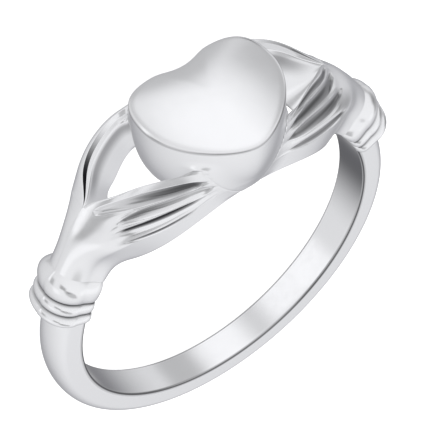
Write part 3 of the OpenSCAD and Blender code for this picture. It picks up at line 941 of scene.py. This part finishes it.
class RING_OT_cuffs(bpy.types.Operator):
    """Makes the two cuffs, each with three rolls round the wrist"""
    bl_idname = "ring.cuffs"
    bl_label = "Cuffs"

    def execute(self, context):
        shapes = Shapes(context.scene)
        # Rows of each roll, closer together at its ends
        ease = (1 - np.cos(np.linspace(0, np.pi, 29))) / 2
        ends = np.array([end for end, _ in ROLLS])
        starts = np.concatenate([[0], ends[:-1]])
        share = np.concatenate([[0]] + [start + (end - start) * ease[1:] for start, end in zip(starts, ends)])
        a = shapes.cuff.start + (shapes.cuff_end - shapes.cuff.start) * share
        section = self.section(shapes, a, swell(share, shapes.cuff.roll)[:, None])
        height = section[..., 1]
        # Painted shade in the creases between the rolls
        valley = VALLEY_DARK * np.exp(-((share[:, None] - ends) / VALLEY_REACH) ** 2).max(1)[:, None]
        for name, side in (("cuff_left", -1), ("cuff_right", 1)):
            grid = section_grid(side * a, section)
            make_piece(name, [capped(grid, valley * (height > VALLEY_FOOT))])
        return {"FINISHED"}

    def section(self, shapes, a, proud):
        """Sections of a cuff at some angles: quarters of ellipses over the front and the back, standing proud
        of the wrist, with rounded corners at the finger hole and a line along it."""
        e = {key: value[:, None] for key, value in shapes.edges(a).items()}
        turn = np.linspace(0, 1, 21)[None] * np.pi / 2
        front, back = e["front"] - proud, e["back"] + proud
        over_front = np.stack([front + (e["index"] - front) * (1 - np.cos(turn)),
                               e["front_h"] + (e["index_h"] - e["front_h"]) * np.sin(turn) + proud], -1)
        over_back = np.stack([e["thumb"] + (back - e["thumb"]) * np.sin(turn),
                              e["back_h"] + (e["thumb_h"] - e["back_h"]) * np.cos(turn) + proud], -1)
        inset, corner_round, least_wall = 0.5, 0.3, 0.1
        feet = (e["front"] + inset, e["front"] - proud / 2, back - proud / 2, e["back"] - inset)
        front_in, front_foot, back_foot, back_in = (np.stack([foot, 0 * proud], -1) for foot in feet)
        up = bent_line([front_in, front_foot, over_front[:, :1]], [corner_round], straight=12, bend=8)
        wall_height = np.maximum(over_front[:, :1, 1], least_wall)
        up = up - bulge(np.clip(up[..., 1] / wall_height, 0, 1), shapes.swollen(a)[:, None])
        down = bent_line([over_back[:, -1:], back_foot, back_in], [corner_round], bend=8)
        across = along(back_in, front_in, np.linspace(0, 1, 5)[None, 1:-1])
        return stacked(up[:, :-1], over_front, over_back, down[:, 1:], across)


class RING_OT_band(bpy.types.Operator):
    """Makes the band, domed outside and round inside"""
    bl_idname = "ring.band"
    bl_label = "Band"

    def execute(self, context):
        shapes = Shapes(context.scene)
        band, edge = shapes.band, shapes.band.edge
        start = shapes.cuff_end - BAND_REACH
        a = np.linspace(start, 360 - start, 361)
        widening = smoothstep(np.abs(180 - a) / (180 - shapes.cuff_end))
        half = (band.width + (band.shoulder - band.width) * widening)[:, None] / 2
        turn = np.linspace(0, 1, 41)[None] * np.pi
        k = np.linspace(0, 1, 9)[None]
        parts = [
            (-half * np.cos(turn), band.side + (band.thickness - band.side) * np.sin(turn)),
            (half + 0 * k, band.side + (edge - band.side) * k),
            (half - edge * k ** 2, edge * (1 - k) ** 2),
            ((half - edge) * (1 - 2 * k), 0 * k),
            (-half + edge * (1 - k) ** 2, edge * k ** 2),
            (-half + 0 * k, edge + (band.side - edge) * k),
        ]
        sides = [np.stack(np.broadcast_arrays(place, height), -1)[:, :-1] for place, height in parts]
        section = stacked(*sides)
        place, height = section[..., 0], section[..., 1]
        # Painted shade: a dark line along the edges at the finger hole
        line = np.where(np.abs(place) > half - edge, band.line, 0)
        dark = line * np.exp(-((height - edge / 2) / (edge / 2)) ** 2)
        make_piece("band", [capped(section_grid(a, section), dark)])
        return {"FINISHED"}


class Socket:
    """A socket of a node tree, with Python's operators as Math nodes."""

    def __init__(self, tree, output):
        self.tree = tree
        self.output = output

    def make(self, kind, settings=None, inputs=None, out=0):
        """Adds a node, sets its settings, then sets or links its inputs, and gives one of its outputs."""
        node = self.tree.nodes.new(kind)
        for key, value in (settings or {}).items():
            setattr(node, key, value)
        for key, value in (inputs or {}).items():
            if isinstance(value, Socket):
                self.tree.links.new(value.output, node.inputs[key])
            else:
                node.inputs[key].default_value = value
        return Socket(self.tree, node.outputs[out]) if len(node.outputs) else None

    def math(self, operation, *values):
        """Adds a Math node on some values, each a socket or a number."""
        return self.make("ShaderNodeMath", {"operation": operation}, dict(enumerate(values)))

    def __add__(self, other):
        return self.math("ADD", self, other)

    def __radd__(self, other):
        return self.math("ADD", other, self)

    def __sub__(self, other):
        return self.math("SUBTRACT", self, other)

    def __rsub__(self, other):
        return self.math("SUBTRACT", other, self)

    def __mul__(self, other):
        return self.math("MULTIPLY", self, other)

    def __rmul__(self, other):
        return self.math("MULTIPLY", other, self)

    def __abs__(self):
        return self.math("ABSOLUTE", self)

    def step(self, low, high):
        """Rises smoothly from 0 at low to 1 at high."""
        return self.make("ShaderNodeMapRange", {"interpolation_type": "SMOOTHSTEP"},
                         {"Value": self, "From Min": low, "From Max": high, "To Min": 0.0, "To Max": 1.0})

    def dot(self, vector):
        """How far this vector points along another one."""
        both = {0: self, 1: tuple(vector)}
        return self.make("ShaderNodeVectorMath", {"operation": "DOT_PRODUCT"}, both, "Value")


def shader_tree(data):
    """An empty node tree of a material or a world, as a place to make nodes from."""
    data.use_nodes = True
    data.node_tree.nodes.clear()
    return Socket(data.node_tree, None)


# Numbers of a colour Mix node's two colours and of its result
MIX_A, MIX_B, MIX_RESULT = 6, 7, 2

PIECES = ("band", "cuff_left", "cuff_right", "hands", "heart")


class RING_OT_finish(bpy.types.Operator):
    """Gives every piece of the ring its polished silver"""
    bl_idname = "ring.finish"
    bl_label = "Silver"

    def execute(self, context):
        silver = self.polished_silver(context.scene.ring_silver)
        for name in PIECES:
            piece = bpy.data.objects[name]
            piece.data.materials.clear()
            piece.data.materials.append(silver)
            piece.visible_glossy = False
        return {"FINISHED"}

    def polished_silver(self, look):
        """Silver that darkens with its painted shade and dark reflections, with slow waves of the polishing
        wheel and fine wear.
        """
        silver = bpy.data.materials.new("polished_silver")
        tree = shader_tree(silver)
        place = tree.make("ShaderNodeTexCoord", out="Object")
        waves = tree.make("ShaderNodeTexNoise", {"noise_dimensions": "3D"},
                          {"Vector": place, "Scale": 260.0, "Detail": 1.0, "Roughness": 0.4})
        wear = tree.make("ShaderNodeTexNoise", {"noise_dimensions": "3D"},
                         {"Vector": place, "Scale": 2600.0, "Detail": 4.0, "Roughness": 0.6})
        # The wear takes the roughness from 0.6 to 1.4 of what the look says
        smoothest, spread = 0.6, 0.8
        rough = look.roughness * smoothest + wear * (look.roughness * spread)
        # The painted shade darkens the silver's colour towards the painted shade colour
        tarnish = tree.make("ShaderNodeAttribute", {"attribute_name": "tarnish"}, None, "Fac")
        colour = tree.make("ShaderNodeMix", {"data_type": "RGBA"}, {
            "Factor": tarnish, MIX_A: tuple(look.colour), MIX_B: tuple(look.tarnish)}, MIX_RESULT)
        bump = tree.make("ShaderNodeBump", None, {"Strength": 0.06, "Distance": 0.0001, "Height": waves})
        shader = tree.make("ShaderNodeBsdfPrincipled", None, {
            "Base Color": colour, "Metallic": 1.0, "Roughness": rough, "Specular Tint": tuple(look.grazing),
            "Normal": bump})
        tree.make("ShaderNodeOutputMaterial", None, {"Surface": shader})
        return silver


# Soft boxes and cards of the studio, later ones over earlier ones: the direction to each as azimuth from +Y
# towards +X and elevation over the plane of the finger hole, then its half width, half height and soft edge
# along both, all in degrees, and its brightness.
CARD_COLUMNS = ("azimuth", "elevation", "wide", "tall", "soft_wide", "soft_tall", "shine")
CARDS = (
    (-120.0, 66.0, 50.0, 12.0, 16.0, 11.0, 0.52),
    (40.0, -68.0, 40.0, 12.0, 30.0, 14.0, 0.55),
    (54.0, -18.0, 8.0, 14.0, 13.0, 16.0, 0.51),
    (-8.0, -44.0, 8.0, 14.0, 12.0, 16.0, 0.62),
    (180.0, -6.0, 8.0, 8.0, 10.0, 8.0, 0.86),
    (-66.0, -10.0, 10.0, 4.0, 14.0, 10.0, 0.45),
    (-103.0, 12.0, 8.0, 7.0, 12.0, 10.0, 0.97),
    (125.0, 54.0, 14.0, 7.0, 14.0, 10.0, 0.97),
    (94.0, 14.0, 18.0, 10.0, 20.0, 18.0, 0.42),
    (86.0, 18.0, 6.0, 6.0, 8.0, 8.0, 0.30),
    (72.0, -42.0, 5.0, 4.0, 6.0, 5.0, 0.24),
    (-85.0, 66.0, 9.0, 5.0, 8.0, 8.0, 0.24),
    (-55.0, 41.0, 10.0, 8.0, 9.0, 9.0, 0.38),
    (-66.0, -25.0, 8.0, 3.0, 12.0, 6.0, 1.04),
    (-42.0, -28.3, 12.0, 2.5, 20.0, 4.0, 1.06),
    (16.0, -15.0, 8.0, 8.0, 20.0, 34.0, 1.02),
)

# The camera's view: its azimuth from +Y towards +X and its fall under the level of the upright ring, and its
# roll, in degrees, then how far the hole's middle lies to the right, above and ahead, in radii of the hole
CAMERA_AZIMUTH, CAMERA_ELEVATION, CAMERA_ROLL = 34.4009, 53.7719, -2.5434
CAMERA_PLACE = (-0.0136, -0.1672, 13.0)
# Focal length and the longer side of the photo's frame, both in pixels, and the sensor's side in mm
FOCAL_PX = 2249.2026
FRAME_PX = 448.0
SENSOR_MM = 36.0


class RING_OT_stage(bpy.types.Operator):
    """Makes the floor, the soft studio light and the camera"""
    bl_idname = "ring.stage"
    bl_label = "Stage"

    def execute(self, context):
        scene = context.scene
        self.make_floor(scene, scene.ring_stage)
        self.make_light(scene, scene.ring_stage)
        self.make_camera(scene)
        scene.view_settings.view_transform = "Standard"
        return {"FINISHED"}

    def make_floor(self, scene, look):
        """A wide, pale, flat floor that glows a little and isn't mirrored in the silver."""
        size = 3.0
        corners = [(-size, -size, 0), (size, -size, 0), (size, size, 0), (-size, size, 0)]
        mesh = bpy.data.meshes.new("floor")
        mesh.from_pydata(corners, [], [(0, 1, 2, 3)])
        floor = bpy.data.objects.new("floor", mesh)
        scene.collection.objects.link(floor)
        paint = bpy.data.materials.new("pale_floor")
        tree = shader_tree(paint)
        shader = tree.make("ShaderNodeBsdfPrincipled", None, {
            "Base Color": tuple(look.floor), "Roughness": 0.9, "Specular IOR Level": 0.0,
            "Emission Color": (1, 1, 1, 1), "Emission Strength": look.glow})
        tree.make("ShaderNodeOutputMaterial", None, {"Surface": shader})
        mesh.materials.append(paint)
        floor.visible_glossy = False

    def make_light(self, scene, look):
        """The studio: cards on bright walls for what the silver mirrors, and an even light for all the rest.
        A card is full over its half sizes in azimuth and elevation and fades out over its soft edges."""
        world = bpy.data.worlds.new("studio")
        scene.world = world
        tree = shader_tree(world)
        way = tree.make("ShaderNodeTexCoord", out="Generated")
        east = np.array([1, 0, 0])
        north, up = laid_direction((0, 0, 1)), laid_direction((0, -1, 0))
        height = way.dot(up)
        elevation = way.math("ARCSINE", height) * math.degrees(1)
        bright = look.fill + height * look.lift
        for card in CARDS:
            c = dict(zip(CARD_COLUMNS, card))
            a = math.radians(c["azimuth"])
            aside = way.dot(math.cos(a) * east - math.sin(a) * north)
            ahead = way.dot(math.sin(a) * east + math.cos(a) * north)
            across = abs(way.math("ARCTAN2", aside, ahead) * math.degrees(1))
            above = abs(elevation - c["elevation"])
            mask = 1 - across.step(c["wide"], c["wide"] + c["soft_wide"])
            mask = mask * (1 - above.step(c["tall"], c["tall"] + c["soft_tall"]))
            bright = bright * (1 - mask) + mask * c["shine"]
        mirrored = tree.make("ShaderNodeLightPath", out="Is Glossy Ray")
        total = mirrored * bright + (1 - mirrored) * look.light
        back = tree.make("ShaderNodeBackground", None, {"Color": (1, 1, 1, 1), "Strength": total})
        tree.make("ShaderNodeOutputWorld", None, {"Surface": back})

    def make_camera(self, scene):
        """The camera at the photo's angle to the ring, set up in the upright frame and laid with the ring."""
        a, e, roll = (math.radians(x) for x in (CAMERA_AZIMUTH, CAMERA_ELEVATION, CAMERA_ROLL))
        ahead = np.array([math.sin(a) * math.cos(e), math.cos(a) * math.cos(e), -math.sin(e)])
        level = np.array([math.cos(a), -math.sin(a), 0.0])
        above = np.cross(level, ahead)
        right = math.cos(roll) * level + math.sin(roll) * above
        up = -math.sin(roll) * level + math.cos(roll) * above
        place = -BORE_R * (CAMERA_PLACE[0] * right + CAMERA_PLACE[1] * up + CAMERA_PLACE[2] * ahead)
        data = bpy.data.cameras.new("camera")
        data.sensor_width = SENSOR_MM
        data.lens = FOCAL_PX / FRAME_PX * SENSOR_MM
        data.clip_start, data.clip_end = 0.01, 20
        camera = bpy.data.objects.new("camera", data)
        scene.collection.objects.link(camera)
        axes = np.stack([laid_direction(v) for v in (right, up, -ahead)], 1)
        rows = [[*row, shift] for row, shift in zip(axes, laid(place))]
        camera.matrix_world = Matrix(rows + [[0, 0, 0, 1]])
        scene.camera = camera


class RING_PT_panel(bpy.types.Panel):
    """Lists the steps that build the ring, and its sizes and looks"""
    bl_idname = "RING_PT_panel"
    bl_label = "Claddagh ring"
    bl_space_type = "VIEW_3D"
    bl_region_type = "UI"
    bl_category = "Ring"

    def draw(self, context):
        """Draws a button for each step and a box for each group of values."""
        for step in STEPS:
            self.layout.operator(step.bl_idname)
        for group in GROUPS:
            box = self.layout.box()
            values = getattr(context.scene, group)
            for name in values.__annotations__:
                box.prop(values, name)


GROUPS = {
    "ring_band": BandSizes,
    "ring_cuffs": CuffSizes,
    "ring_hands": HandSizes,
    "ring_heart": HeartSizes,
    "ring_silver": SilverLook,
    "ring_stage": StageLook,
}
STEPS = (RING_OT_band, RING_OT_cuffs, RING_OT_hands, RING_OT_heart, RING_OT_finish, RING_OT_stage)


def register():
    """Registers the classes and gives the scene its groups of values."""
    for cls in (*GROUPS.values(), *STEPS, RING_PT_panel):
        bpy.utils.register_class(cls)
    for name, cls in GROUPS.items():
        setattr(bpy.types.Scene, name, PointerProperty(type=cls))


def unregister():
    """Takes the groups of values and the classes away again."""
    for name in GROUPS:
        delattr(bpy.types.Scene, name)
    for cls in (RING_PT_panel, *reversed(STEPS), *reversed(GROUPS.values())):
        bpy.utils.unregister_class(cls)


def main():
    """Registers the classes and runs every step in order."""
    register()
    for step in STEPS:
        group, name = step.bl_idname.split(".")
        getattr(getattr(bpy.ops, group), name)()


if __name__ == "__main__":
    main()
